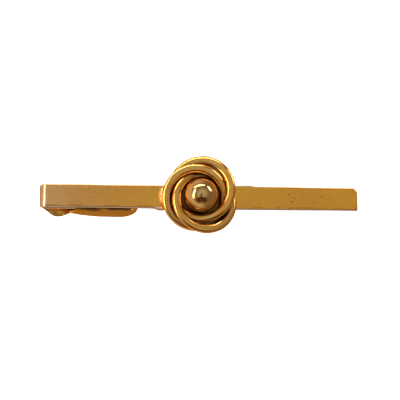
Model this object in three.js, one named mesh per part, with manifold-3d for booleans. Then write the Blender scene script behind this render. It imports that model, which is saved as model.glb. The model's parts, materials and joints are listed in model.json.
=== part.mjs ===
// Tie clip (tie bar): a folded metal strip with a rope knot and a ball on its front,
// and a spring-loaded jaw hinged on its back.
//
// Millimetres. +X runs along the bar from the folded end to the free end, +Z comes out of the
// front face, and the origin is the middle of the strip's back face, where the tie lies.
import * as THREE from 'three';
import { mergeVertices } from 'three/addons/utils/BufferGeometryUtils.js';
import Module from 'manifold-3d';

// ---- driving dimensions (mm) ----
const BAR_LENGTH = 57;
const BAR_WIDTH = 4.25;
const JAW_REACH_X = -9;        // the back face is clear of the jaw past here
const STRIP = 0.9;             // thickness of the bar's strip
const EDGE_ROUND = 0.2;        // rounding of the strip's long edges
const FOLD_GAP = 0.5;          // space between the strip and its folded leg
const LEG_LENGTH = 5.45;       // flat part of the folded leg
const CORNER_CLIP = 0.65;      // corner taken off the free end

const KNOT_X = -0.05;
const KNOT_Y = 0.1;
const WIRE = 0.8;              // diameter of the knot's wire
const WIRE_PITCH = 0.82;       // centre to centre of the two wires in a strand
const STRAND_LIFT = 1.055;     // how far each ring rises and falls as it weaves
// Each strand is a ring: its centre, its radius, and where on it (degrees from +X) the level
// axis it is tilted about points.
const STRANDS = [
  { x: 0.14, y: 0.945, radius: 5.24, turn: 98 },
  { x: 0.66, y: -1.185, radius: 5.08, turn: -65 },
  { x: -0.92, y: -0.52, radius: 5.14, turn: 182 },
];

const BASE_RADIUS = 5.9;       // disc under the knot and the ball
const BASE_SHEET = 0.3;

const BALL_RADIUS = 3.05;
const BALL_X = 0.01;
const BALL_Y = -0.29;
const BALL_SEAT_RADIUS = 1.9;  // flat under the ball where it is soldered down
const BALL_SOLDER_HEIGHT = 0.12;

const FILLET_X = -6.65;        // solder at the left side of the knot
const FILLET_WIDTH = 1.5;
const FILLET_LENGTH = 3.3;
const FILLET_HEIGHT = 0.8;

const HINGE_X = -23.45;
const HINGE_Z = -3.15;
const OPEN_ANGLE = 22 * Math.PI / 180;
const PIN_RADIUS = 0.35;
const PIN_HOLE_RADIUS = 0.4;
const PIN_HEAD_RADIUS = 0.5;
const PIN_HEAD = 0.18;

const BRACKET_SHEET = 0.38;
const BRACKET_LEFT = -27.2;
const BRACKET_RIGHT = -22.15;
const EAR_OUTER_Y = 1.42;
const EAR_RADIUS = 0.85;       // round end of each ear, about the pin
const LUG_OUTER_Y = 0.99;      // the jaw's lugs run inside the ears
const LUG_SHEET = 0.36;
const LUG_RADIUS = 0.82;

const JAW_SHEET = 0.45;
const JAW_BACK_Z = -4.8;       // outer face of the jaw's back plate
const JAW_X = -15.85;          // where the jaw is widest
const JAW_HALF_WIDTH = 2.65;
const JAW_TIP_X = -10.65;
const JAW_TIP_HALF_WIDTH = 0.9;
const JAW_TIP_CURVE = 2.4;     // radius of the back plate where it turns up into the tip
const WAIST_X = -23.05;
const WAIST_HALF_WIDTH = 2.05;
const PAD_X = -25.15;          // where the thumb pad is widest
const PAD_HALF_WIDTH = 2.8;
const PAD_END_X = -28.05;
const PAD_END_HALF_WIDTH = 0.9;

const JAW_WALL_LEAN = 0.62;    // how far the side walls lean in by the time they reach the bar
const JAW_TOP_Z = -0.12;
const WALL_START_X = -23;      // the walls start low beside the hinge and climb to full height
const WALL_START_Z = -3.6;
const WALL_CLIMB_X = -22.35;
const WALL_FULL_X = -20.65;
const DIP_START_X = -17.6;     // past here the walls' edges drop away from the bar
const DIP_LOW_X = -15.2;
const DIP_LOW_Z = -0.8;
const DIP_END_X = -11.9;
const TIP_EDGE_X = -11.5;      // and come back up to the teeth at the tip
const TEETH = 4;
const TOOTH_NOTCH = 0.26;

const SPRING_WIRE = 0.28;
const SPRING_RADIUS = 0.55;    // middle of the wire in the coil
const SPRING_PITCH = 0.32;
const SPRING_TURNS = 2;        // whole turns, besides the part turn between the two legs
const SPRING_LEG = 2.6;        // how far both legs reach back from the pin
const SPRING_GAP = 0.06;       // air between each leg and the sheet it pushes on

const SEAM = 0.03;             // film of air between soldered or touching pieces

// ---- values worked out from them ----
const BACK_Z = 0;
const FACE_Z = BACK_Z + STRIP;
const LEFT_X = -BAR_LENGTH / 2;
const RIGHT_X = BAR_LENGTH / 2;
const BASE_Z = FACE_Z + SEAM;
const KNOT_FLOOR_Z = BASE_Z + BASE_SHEET + SEAM;
const FOLD_OUTER = STRIP + FOLD_GAP / 2;
const FOLD_X = LEFT_X + FOLD_OUTER;
const LEG_TOP_Z = BACK_Z - FOLD_GAP;
const LEG_BOTTOM_Z = LEG_TOP_Z - STRIP;
const BASE_TOP_Z = LEG_BOTTOM_Z - 0.1;
const BASE_BOTTOM_Z = BASE_TOP_Z - BRACKET_SHEET;
const JAW_INNER_Z = JAW_BACK_Z + JAW_SHEET;
// A strand's outer wire rises and falls a little more than the middle of its ring does.
const OUTER_WIRE_LIFT = STRAND_LIFT
  * Math.max(...STRANDS.map(({ radius }) => (radius + WIRE_PITCH / 2) / radius));
const KNOT_MID_Z = KNOT_FLOOR_Z + WIRE / 2 + OUTER_WIRE_LIFT;

// ---- solids and booleans ----
const wasm = await Module();
wasm.setup();

function solid(geometry) {
  const bare = geometry.index ? geometry.clone() : geometry;
  bare.deleteAttribute('normal');
  bare.deleteAttribute('uv');
  const merged = mergeVertices(bare, 1e-4);
  return new wasm.Manifold(new wasm.Mesh({
    numProp: 3,
    vertProperties: new Float32Array(merged.attributes.position.array),
    triVerts: new Uint32Array(merged.index.array),
  }));
}

function geometryOf(manifold) {
  const mesh = manifold.getMesh();
  const geometry = new THREE.BufferGeometry();
  geometry.setAttribute('position', new THREE.BufferAttribute(mesh.vertProperties, 3));
  geometry.setIndex(new THREE.BufferAttribute(mesh.triVerts, 1));
  geometry.computeVertexNormals();
  return geometry;
}

const group = new THREE.Group();

function addPart(name, geometry, color, roughness) {
  const material = new THREE.MeshStandardMaterial({ color, roughness, metalness: 1 });
  const mesh = new THREE.Mesh(geometry, material);
  mesh.name = name;
  group.add(mesh);
  return mesh;
}

// A side view drawn in X and Z, extruded along Y from -halfWidth to +halfWidth.
function sideExtrusion(shape, halfWidth, options = {}) {
  const bevel = options.bevelThickness ?? 0;
  const depth = 2 * (halfWidth - bevel);
  const geometry = new THREE.ExtrudeGeometry(shape, { bevelEnabled: false, ...options, depth });
  geometry.translate(0, 0, -depth / 2);
  geometry.rotateX(Math.PI / 2);
  return geometry;
}

function circlePath(x, y, radius) {
  const path = new THREE.Path();
  path.absarc(x, y, radius, 0, 2 * Math.PI, true);
  return path;
}

function boxBetween(low, high) {
  const size = high.map((value, axis) => value - low[axis]);
  const geometry = new THREE.BoxGeometry(...size);
  geometry.translate(...low.map((value, axis) => value + size[axis] / 2));
  return geometry;
}

// ---- bar: one strip, folded back on itself at the left end ----
function barGeometry() {
  const profile = new THREE.Shape();
  const foldZ = BACK_Z - FOLD_GAP / 2;
  profile.moveTo(RIGHT_X, BACK_Z);
  profile.lineTo(RIGHT_X, FACE_Z);
  profile.lineTo(FOLD_X, FACE_Z);
  profile.absarc(FOLD_X, foldZ, FOLD_OUTER, Math.PI / 2, 1.5 * Math.PI, false);
  profile.lineTo(FOLD_X + LEG_LENGTH, LEG_BOTTOM_Z);
  profile.lineTo(FOLD_X + LEG_LENGTH, LEG_TOP_Z);
  profile.lineTo(FOLD_X, LEG_TOP_Z);
  profile.absarc(FOLD_X, foldZ, FOLD_GAP / 2, 1.5 * Math.PI, Math.PI / 2, true);
  const strip = sideExtrusion(profile, BAR_WIDTH / 2, {
    curveSegments: 16,
    bevelEnabled: true,
    bevelThickness: EDGE_ROUND,
    bevelSize: EDGE_ROUND,
    bevelOffset: -EDGE_ROUND,
    bevelSegments: 3,
  });
  return geometryOf(splitPastJaw(solid(strip)));
}

// The stretch of the strip past the jaw's tip is a face of its own. Its free end has one
// corner taken off.
function splitPastJaw(strip) {
  const clip = new THREE.BoxGeometry(CORNER_CLIP * 2, CORNER_CLIP * 2, STRIP * 4);
  clip.rotateZ(Math.PI / 4);
  const reach = CORNER_CLIP * (Math.SQRT2 - 0.5);
  clip.translate(RIGHT_X + reach - CORNER_CLIP / 2, BAR_WIDTH / 2 + reach - CORNER_CLIP / 2, FACE_Z);
  const jawSide = boxBetween([LEFT_X - 1, -BAR_WIDTH, -BAR_WIDTH], [JAW_REACH_X, BAR_WIDTH, BAR_WIDTH]);
  const freeSide = boxBetween([JAW_REACH_X, -BAR_WIDTH, -BAR_WIDTH], [RIGHT_X + 1, BAR_WIDTH, BAR_WIDTH]);
  const underJaw = strip.intersect(solid(jawSide)).asOriginal();
  const pastJaw = strip.intersect(solid(freeSide)).subtract(solid(clip)).asOriginal();
  return underJaw.add(pastJaw);
}

// ---- knot: three strands of two wires, each a tilted ring set off the knot's centre ----
function wireGeometry(strand, ringRadius) {
  const turn = THREE.MathUtils.degToRad(strand.turn);
  const tiltAxis = new THREE.Vector3(Math.cos(turn), Math.sin(turn), 0);
  const tilt = -Math.asin(STRAND_LIFT / strand.radius);
  const geometry = new THREE.TorusGeometry(ringRadius, WIRE / 2, 8, 56);
  geometry.applyMatrix4(new THREE.Matrix4().makeRotationAxis(tiltAxis, tilt));
  geometry.translate(strand.x, strand.y, KNOT_MID_Z);
  return geometry;
}

function knotBaseGeometry() {
  const geometry = new THREE.CylinderGeometry(BASE_RADIUS, BASE_RADIUS, BASE_SHEET, 48);
  geometry.rotateX(Math.PI / 2);
  geometry.translate(KNOT_X, KNOT_Y, BASE_Z + BASE_SHEET / 2);
  return geometry;
}

// ---- ball, with the small flat it stands on ----
function ballGeometry() {
  const seatDrop = Math.sqrt(BALL_RADIUS ** 2 - BALL_SEAT_RADIUS ** 2);
  const seatAngle = Math.atan2(-seatDrop, BALL_SEAT_RADIUS);
  const rings = 22;
  const profile = [new THREE.Vector2(0, -seatDrop)];
  for (let i = 0; i <= rings; i += 1) {
    const angle = seatAngle + (Math.PI / 2 - seatAngle) * (i / rings);
    const radius = i === rings ? 0 : BALL_RADIUS * Math.cos(angle);
    profile.push(new THREE.Vector2(radius, BALL_RADIUS * Math.sin(angle)));
  }
  const geometry = new THREE.LatheGeometry(profile, 36);
  geometry.rotateX(Math.PI / 2);
  geometry.translate(BALL_X, BALL_Y, KNOT_FLOOR_Z + BALL_SOLDER_HEIGHT + SEAM + seatDrop);
  return geometry;
}

// ---- solder under the ball, and the fillet at the knot's left side ----
function ballSolderGeometry() {
  const profile = [
    new THREE.Vector2(0, 0),
    new THREE.Vector2(BALL_SEAT_RADIUS + 0.3, 0),
    new THREE.Vector2(BALL_SEAT_RADIUS + 0.15, BALL_SOLDER_HEIGHT * 0.6),
    new THREE.Vector2(BALL_SEAT_RADIUS, BALL_SOLDER_HEIGHT),
    new THREE.Vector2(0, BALL_SOLDER_HEIGHT),
  ];
  const geometry = new THREE.LatheGeometry(profile, 28);
  geometry.rotateX(Math.PI / 2);
  geometry.translate(BALL_X, BALL_Y, KNOT_FLOOR_Z);
  return geometry;
}

function knotSolderGeometry() {
  const plan = new THREE.Shape();
  plan.absellipse(0, 0, FILLET_WIDTH / 2, FILLET_LENGTH / 2, 0, 2 * Math.PI, false);
  const geometry = new THREE.ExtrudeGeometry(plan, {
    depth: FILLET_HEIGHT / 3,
    curveSegments: 10,
    bevelEnabled: true,
    bevelThickness: FILLET_HEIGHT * 2 / 3,
    bevelSize: FILLET_WIDTH / 5,
    bevelOffset: -FILLET_WIDTH / 5,
    bevelSegments: 3,
  });
  geometry.translate(FILLET_X, KNOT_Y, FACE_Z + SEAM);
  const aboveFace = boxBetween([-20, -10, FACE_Z + SEAM], [20, 10, FACE_Z + 5]);
  return geometryOf(solid(geometry).intersect(solid(aboveFace)));
}

// ---- hinge bracket: a channel soldered under the folded leg, with two ears for the pin ----
function earShape() {
  const slope = Math.tan(OPEN_ANGLE);
  const startAngle = -Math.PI / 2 - OPEN_ANGLE;
  const leftZ = HINGE_Z - EAR_RADIUS / Math.cos(OPEN_ANGLE) + slope * (HINGE_X - BRACKET_LEFT);
  const shape = new THREE.Shape();
  shape.moveTo(BRACKET_LEFT, BASE_TOP_Z);
  shape.lineTo(BRACKET_LEFT, leftZ);
  shape.absarc(HINGE_X, HINGE_Z, EAR_RADIUS, startAngle, 0, false);
  shape.lineTo(BRACKET_RIGHT, BASE_BOTTOM_Z);
  shape.lineTo(BRACKET_RIGHT, BASE_TOP_Z);
  shape.holes.push(circlePath(HINGE_X, HINGE_Z, PIN_HOLE_RADIUS));
  return shape;
}

function bracketGeometry() {
  const block = solid(sideExtrusion(earShape(), EAR_OUTER_Y, { curveSegments: 20 }));
  const earInnerY = EAR_OUTER_Y - BRACKET_SHEET;
  const low = [BRACKET_LEFT - 1, -earInnerY, JAW_BACK_Z];
  const hollow = boxBetween(low, [BRACKET_RIGHT + 1, earInnerY, BASE_BOTTOM_Z]);
  return geometryOf(block.subtract(solid(hollow)));
}

function bracketSolderGeometry() {
  const halfWidth = EAR_OUTER_Y - 0.1;
  const low = [BRACKET_LEFT + 0.25, -halfWidth, BASE_TOP_Z + SEAM];
  const high = [FOLD_X + LEG_LENGTH - 0.2, halfWidth, LEG_BOTTOM_Z - SEAM];
  return boxBetween(low, high);
}

// ---- hinge pin, peened over outside the ears ----
function pinGeometry() {
  const shaftEnd = EAR_OUTER_Y + SEAM;
  const headEnd = shaftEnd + PIN_HEAD;
  const profile = [
    new THREE.Vector2(0, -headEnd),
    new THREE.Vector2(PIN_HEAD_RADIUS * 0.7, -headEnd),
    new THREE.Vector2(PIN_HEAD_RADIUS, -headEnd + PIN_HEAD * 0.5),
    new THREE.Vector2(PIN_HEAD_RADIUS, -shaftEnd),
    new THREE.Vector2(PIN_RADIUS, -shaftEnd),
    new THREE.Vector2(PIN_RADIUS, shaftEnd),
    new THREE.Vector2(PIN_HEAD_RADIUS, shaftEnd),
    new THREE.Vector2(PIN_HEAD_RADIUS, headEnd - PIN_HEAD * 0.5),
    new THREE.Vector2(PIN_HEAD_RADIUS * 0.7, headEnd),
    new THREE.Vector2(0, headEnd),
  ];
  const geometry = new THREE.LatheGeometry(profile, 24);
  geometry.translate(HINGE_X, 0, HINGE_Z);
  return geometry;
}

// ---- torsion spring: a coil on the pin with two legs that push the thumb pad off the bracket ----
class CoilCurve extends THREE.Curve {
  constructor(startAngle, sweep, length) {
    super();
    this.startAngle = startAngle;
    this.sweep = sweep;
    this.length = length;
  }

  getPoint(t, target = new THREE.Vector3()) {
    const angle = this.startAngle - this.sweep * t;
    const y = this.length * (0.5 - t);
    return target.set(SPRING_RADIUS * Math.cos(angle), y, SPRING_RADIUS * Math.sin(angle));
  }
}

function tangentAngle(x, z, side) {
  const distance = Math.hypot(x, z);
  return Math.atan2(z, x) + side * Math.acos(SPRING_RADIUS / distance);
}

function springGeometry() {
  const wireRadius = SPRING_WIRE / 2;
  const upperEnd = { x: -SPRING_LEG, z: BASE_BOTTOM_Z - SPRING_GAP - wireRadius - HINGE_Z };
  const lowerEnd = { x: -SPRING_LEG, z: JAW_INNER_Z + SPRING_GAP + wireRadius - HINGE_Z };
  const upperAngle = tangentAngle(upperEnd.x, upperEnd.z, -1);
  const lowerAngle = tangentAngle(lowerEnd.x, lowerEnd.z, 1);
  const partTurn = THREE.MathUtils.euclideanModulo(upperAngle - lowerAngle, 2 * Math.PI);
  const sweep = partTurn + SPRING_TURNS * 2 * Math.PI;
  const length = SPRING_PITCH * sweep / (2 * Math.PI);
  const coil = new CoilCurve(upperAngle, sweep, length);
  const path = new THREE.CurvePath();
  path.add(new THREE.LineCurve3(new THREE.Vector3(upperEnd.x, length / 2, upperEnd.z), coil.getPoint(0)));
  path.add(coil);
  path.add(new THREE.LineCurve3(coil.getPoint(1), new THREE.Vector3(lowerEnd.x, -length / 2, lowerEnd.z)));
  const section = new THREE.Shape();
  section.absarc(0, 0, wireRadius, 0, 2 * Math.PI, false);
  const geometry = new THREE.ExtrudeGeometry(section, { steps: 84, extrudePath: path, curveSegments: 4 });
  geometry.translate(HINGE_X, 0, HINGE_Z);
  return geometry;
}

// ---- jaw: thumb pad, waist, and a boat-shaped tray that closes on the back of the bar ----
// Half of the plan outline, drawn from the pad's end to the tip, then mirrored.
function jawPlan(inset) {
  const upper = new THREE.Path();
  const padCurve = PAD_END_X + 1.2;
  upper.moveTo(PAD_END_X, PAD_END_HALF_WIDTH);
  upper.bezierCurveTo(padCurve, PAD_END_HALF_WIDTH + 0.1, padCurve, PAD_HALF_WIDTH, PAD_X, PAD_HALF_WIDTH);
  upper.bezierCurveTo(PAD_X + 0.9, PAD_HALF_WIDTH, WAIST_X - 0.7, WAIST_HALF_WIDTH + 0.5,
    WAIST_X, WAIST_HALF_WIDTH);
  upper.bezierCurveTo(WAIST_X + 1.6, WAIST_HALF_WIDTH + 0.25, JAW_X - 3.4, JAW_HALF_WIDTH,
    JAW_X, JAW_HALF_WIDTH);
  upper.bezierCurveTo(JAW_X + 3.2, JAW_HALF_WIDTH, JAW_TIP_X, JAW_TIP_HALF_WIDTH + 1.3,
    JAW_TIP_X, JAW_TIP_HALF_WIDTH);
  const half = upper.getPoints(11);
  const other = [...half].reverse().map((point) => new THREE.Vector2(point.x, -point.y));
  const outline = [...half, ...other];
  return new THREE.Shape(inset === 0 ? outline : outline.map((point) => insetPoint(point, inset)));
}

// The inside of the tray is the same outline drawn in towards its middle by the sheet's thickness.
function insetPoint(point, inset) {
  const along = (JAW_TIP_X - inset - HINGE_X) / (JAW_TIP_X - HINGE_X);
  const across = (JAW_HALF_WIDTH - inset) / JAW_HALF_WIDTH;
  return new THREE.Vector2(HINGE_X + (point.x - HINGE_X) * along, point.y * across);
}

// The plan outline drawn up from the back plate, its sides leaning in on the way to the bar.
function leaningPrism(shape) {
  const geometry = new THREE.ExtrudeGeometry(shape, {
    depth: 0.02,
    bevelEnabled: true,
    bevelThickness: JAW_TOP_Z - JAW_BACK_Z,
    bevelSize: JAW_WALL_LEAN,
    bevelOffset: -JAW_WALL_LEAN,
    bevelSegments: 1,
  });
  geometry.translate(0, 0, JAW_BACK_Z);
  return solid(geometry);
}

// Side view of the tray: flat back plate, curving up to the tip. Cut off level at the teeth.
function traySide(inset) {
  const leftX = PAD_END_X - 1;
  const shape = new THREE.Shape();
  shape.moveTo(leftX, JAW_TOP_Z);
  shape.lineTo(leftX, JAW_BACK_Z + inset);
  shape.absarc(JAW_TIP_X - JAW_TIP_CURVE, JAW_BACK_Z + JAW_TIP_CURVE, JAW_TIP_CURVE - inset,
    -Math.PI / 2, 0, false);
  shape.lineTo(JAW_TIP_X - inset, JAW_TOP_Z);
  return solid(sideExtrusion(shape, 2 * JAW_HALF_WIDTH, { curveSegments: 10 }));
}

// What lies above the pad and above the side walls' edges.
function aboveWalls() {
  const leftX = PAD_END_X - 1;
  const shape = new THREE.Shape();
  shape.moveTo(leftX, JAW_INNER_Z);
  shape.lineTo(WALL_START_X, JAW_INNER_Z);
  shape.lineTo(WALL_START_X, WALL_START_Z);
  shape.lineTo(WALL_CLIMB_X, WALL_START_Z);
  shape.lineTo(WALL_FULL_X, JAW_TOP_Z);
  shape.lineTo(DIP_START_X, JAW_TOP_Z);
  shape.lineTo(DIP_LOW_X, DIP_LOW_Z);
  shape.lineTo(DIP_END_X, DIP_LOW_Z);
  shape.lineTo(TIP_EDGE_X, JAW_TOP_Z);
  shape.lineTo(TIP_EDGE_X, 0);
  shape.lineTo(leftX, 0);
  return solid(sideExtrusion(shape, 2 * JAW_HALF_WIDTH));
}

function toothNotches() {
  const pitch = 2 * JAW_TIP_HALF_WIDTH / TEETH;
  const notches = [];
  for (let i = 1; i < TEETH; i += 1) {
    const notch = new THREE.CylinderGeometry(TOOTH_NOTCH, TOOTH_NOTCH, 2, 4);
    notch.rotateZ(Math.PI / 2);
    notch.translate(JAW_TIP_X, pitch * (i - TEETH / 2), JAW_TOP_Z);
    notches.push(solid(notch));
  }
  return notches;
}

// Two lugs bent up from the back plate, running on the pin between the bracket's ears.
function lugSolid(side) {
  const footZ = JAW_INNER_Z - JAW_SHEET / 3;
  const shape = new THREE.Shape();
  shape.moveTo(HINGE_X - LUG_RADIUS, footZ);
  shape.lineTo(HINGE_X + LUG_RADIUS, footZ);
  shape.absarc(HINGE_X, HINGE_Z, LUG_RADIUS, 0, Math.PI, false);
  shape.holes.push(circlePath(HINGE_X, HINGE_Z, PIN_HOLE_RADIUS));
  const geometry = sideExtrusion(shape, LUG_SHEET / 2, { curveSegments: 18 });
  geometry.translate(0, side * (LUG_OUTER_Y - LUG_SHEET / 2), 0);
  return solid(geometry);
}

function jawGeometry() {
  const outside = leaningPrism(jawPlan(0)).intersect(traySide(0));
  const inside = leaningPrism(jawPlan(JAW_SHEET)).intersect(traySide(JAW_SHEET));
  let jaw = outside.subtract(inside).subtract(aboveWalls());
  for (const notch of toothNotches()) {
    jaw = jaw.subtract(notch);
  }
  return geometryOf(jaw.add(lugSolid(1)).add(lugSolid(-1)));
}

// ---- the whole clip ----
addPart('front_bar', barGeometry(), 0xc08a3e, 0.28);
for (const [index, strand] of STRANDS.entries()) {
  const name = `knot_wire_${index + 1}`;
  addPart(`${name}_inner`, wireGeometry(strand, strand.radius - WIRE_PITCH / 2), 0xc89448, 0.16);
  addPart(`${name}_outer`, wireGeometry(strand, strand.radius + WIRE_PITCH / 2), 0xc89448, 0.16);
}
addPart('knot_base', knotBaseGeometry(), 0xa87a34, 0.35);
addPart('knot_ball', ballGeometry(), 0xc89850, 0.08);
addPart('ball_solder', ballSolderGeometry(), 0xa8834a, 0.4);
addPart('knot_solder', knotSolderGeometry(), 0xc09050, 0.35);
addPart('hinge_bracket', bracketGeometry(), 0xb87820, 0.3);
addPart('bracket_solder', bracketSolderGeometry(), 0xa8834a, 0.45);
addPart('hinge_pin', pinGeometry(), 0xa87838, 0.3);
addPart('torsion_spring', springGeometry(), 0x9a9890, 0.3);
addPart('jaw_lever', jawGeometry(), 0xb0701c, 0.3);

export default group;
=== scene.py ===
"""Tie clip with a rope knot and ball: looks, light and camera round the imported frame. Metres."""
import json
import math

import bmesh
import bpy
import numpy as np
from mathutils import Matrix, Vector, noise


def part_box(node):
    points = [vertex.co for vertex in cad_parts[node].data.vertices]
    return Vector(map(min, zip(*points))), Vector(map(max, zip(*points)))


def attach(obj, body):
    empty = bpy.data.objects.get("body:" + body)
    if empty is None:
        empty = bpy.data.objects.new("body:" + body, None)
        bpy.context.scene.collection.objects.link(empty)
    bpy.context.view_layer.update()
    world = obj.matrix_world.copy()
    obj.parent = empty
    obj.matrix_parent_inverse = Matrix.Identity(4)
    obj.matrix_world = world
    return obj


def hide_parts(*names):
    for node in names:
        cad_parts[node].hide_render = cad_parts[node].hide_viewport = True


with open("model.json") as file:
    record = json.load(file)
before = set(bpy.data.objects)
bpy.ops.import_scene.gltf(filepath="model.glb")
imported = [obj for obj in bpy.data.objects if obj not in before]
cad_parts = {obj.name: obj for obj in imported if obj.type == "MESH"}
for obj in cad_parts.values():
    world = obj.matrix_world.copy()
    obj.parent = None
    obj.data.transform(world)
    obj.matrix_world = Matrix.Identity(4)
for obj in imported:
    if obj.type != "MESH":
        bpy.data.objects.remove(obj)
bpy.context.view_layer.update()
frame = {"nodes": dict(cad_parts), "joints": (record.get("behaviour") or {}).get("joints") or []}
MM = 0.001

# ---- sizes read from the frame ----
BAR_LOW, BAR_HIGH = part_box("front_bar")
BALL_LOW, BALL_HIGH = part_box("knot_ball")
BASE_LOW, BASE_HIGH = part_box("knot_base")
JAW_LOW, JAW_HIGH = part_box("jaw_lever")
BRACKET_LOW, BRACKET_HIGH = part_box("hinge_bracket")
LEG_SOLDER_LOW, LEG_SOLDER_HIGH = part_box("bracket_solder")
PIN_LOW, PIN_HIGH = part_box("hinge_pin")
HINGE = Vector(frame["joints"][0]["pos_m"])

STRIP = BAR_HIGH.z
FOLD_OUTER = (BAR_HIGH.z - BAR_LOW.z) / 2
FOLD_Z = (BAR_HIGH.z + BAR_LOW.z) / 2
LEG_END_X = LEG_SOLDER_HIGH.x + 0.2 * MM
HALF_BAR = (BAR_HIGH.y - BAR_LOW.y) / 2

# ---- shape choices, in millimetres ----
EDGE_ROUND = 0.27
FOLD_SHAPE = 1.35          # 1 bends the fold round; more presses it flat and pointed
CORNER_CLIP = 0.65
END_ROUND = 0.10           # rounding of the strip's free end
EDGE_WAVER = 0.02          # how far the strip's edges wander
FACE_RIPPLE = 0.006
PRESS_MARK_X = -25.7       # a faint hollow across the bar, beside the fold
PRESS_MARK_DEPTH = 0.030
PRESS_MARK_SPREAD = 0.4
SPILL_RISE = 0.45          # how high spilt solder stands, as a share of how far it spreads
# four pits on the bar's face: x, y and radius of each
PITS = ((16.1, 0.7, 0.13), (16.6, -0.7, 0.13), (17.1, -0.1, 0.09), (16.4, 0.15, 0.08))
FOLD_LENGTHEN = 0.15       # the fold starts this much before the round one in the frame
FOLD_NARROWING = 0.12      # how much narrower the strip is at the outside of the fold, each side
BAND_SQUARENESS = 1.95     # section of a knot strand: 2 is an ellipse, more is boxier
BAND_WIDENING = 1.06       # how far solder fills the strand out past its two wires
BAND_THICKENING = 1.42
BAND_GROOVE = 0.07         # depth of the seam between the two wires, as a share of the thickness
BAND_GROOVE_SPREAD = 0.2   # and its width, as a share of the band's half width
JAW_TIP = 12.5             # tip of the jaw from the hinge pin
JAW_HEIGHT = 4.68          # the side walls lean by JAW_LEAN over this height
PAD_END = -4.6             # end of the thumb pad from the hinge pin
PAD_FADE = (-1.2, 0.4)     # where the thumb pad's shape dies away into the jaw
PAD_CROWN = 0.34           # how much lower the pad's sides are than its middle
PAD_MIDDLE = 0.14          # share of the crown that lifts the middle; the rest drops the sides
PAD_CURL = 0.25            # how far the pad's end curls up
NOTCH_WIDTH = 0.45         # two notches side by side in the jaw's tip
NOTCH_DEPTH = 0.20
NOTCH_REACH = 0.9          # nothing is notched past this from the middle
FLOOR_DROP = 12            # the floor is this far below a clip that lay on it
JAW_SHEET = 0.45
JAW_LEAN = 0.62
JAW_CORNER = 0.55          # rounding between the jaw's back plate and its side walls
TIP_CURVE = 2.4
EAR_SHEET = 0.38
EAR_RADIUS = 0.85
EAR_SLOPE = 22             # degrees: the ears' lower edge slopes as much as the jaw can swing
EAR_CORNER = 0.42
LUG_OUTER = 0.99
LUG_SHEET = 0.36
LUG_RADIUS = 0.82
LUG_HOLE = 0.4
LUG_FOOT = 0.30            # the lugs end this far inside the jaw's back plate
PIN_SHAFT = 0.35           # radius between the pin's two heads
PIN_HEAD = 0.18            # thickness of each head

FOLD_X = BAR_LOW.x + FOLD_OUTER + FOLD_LENGTHEN * MM


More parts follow.
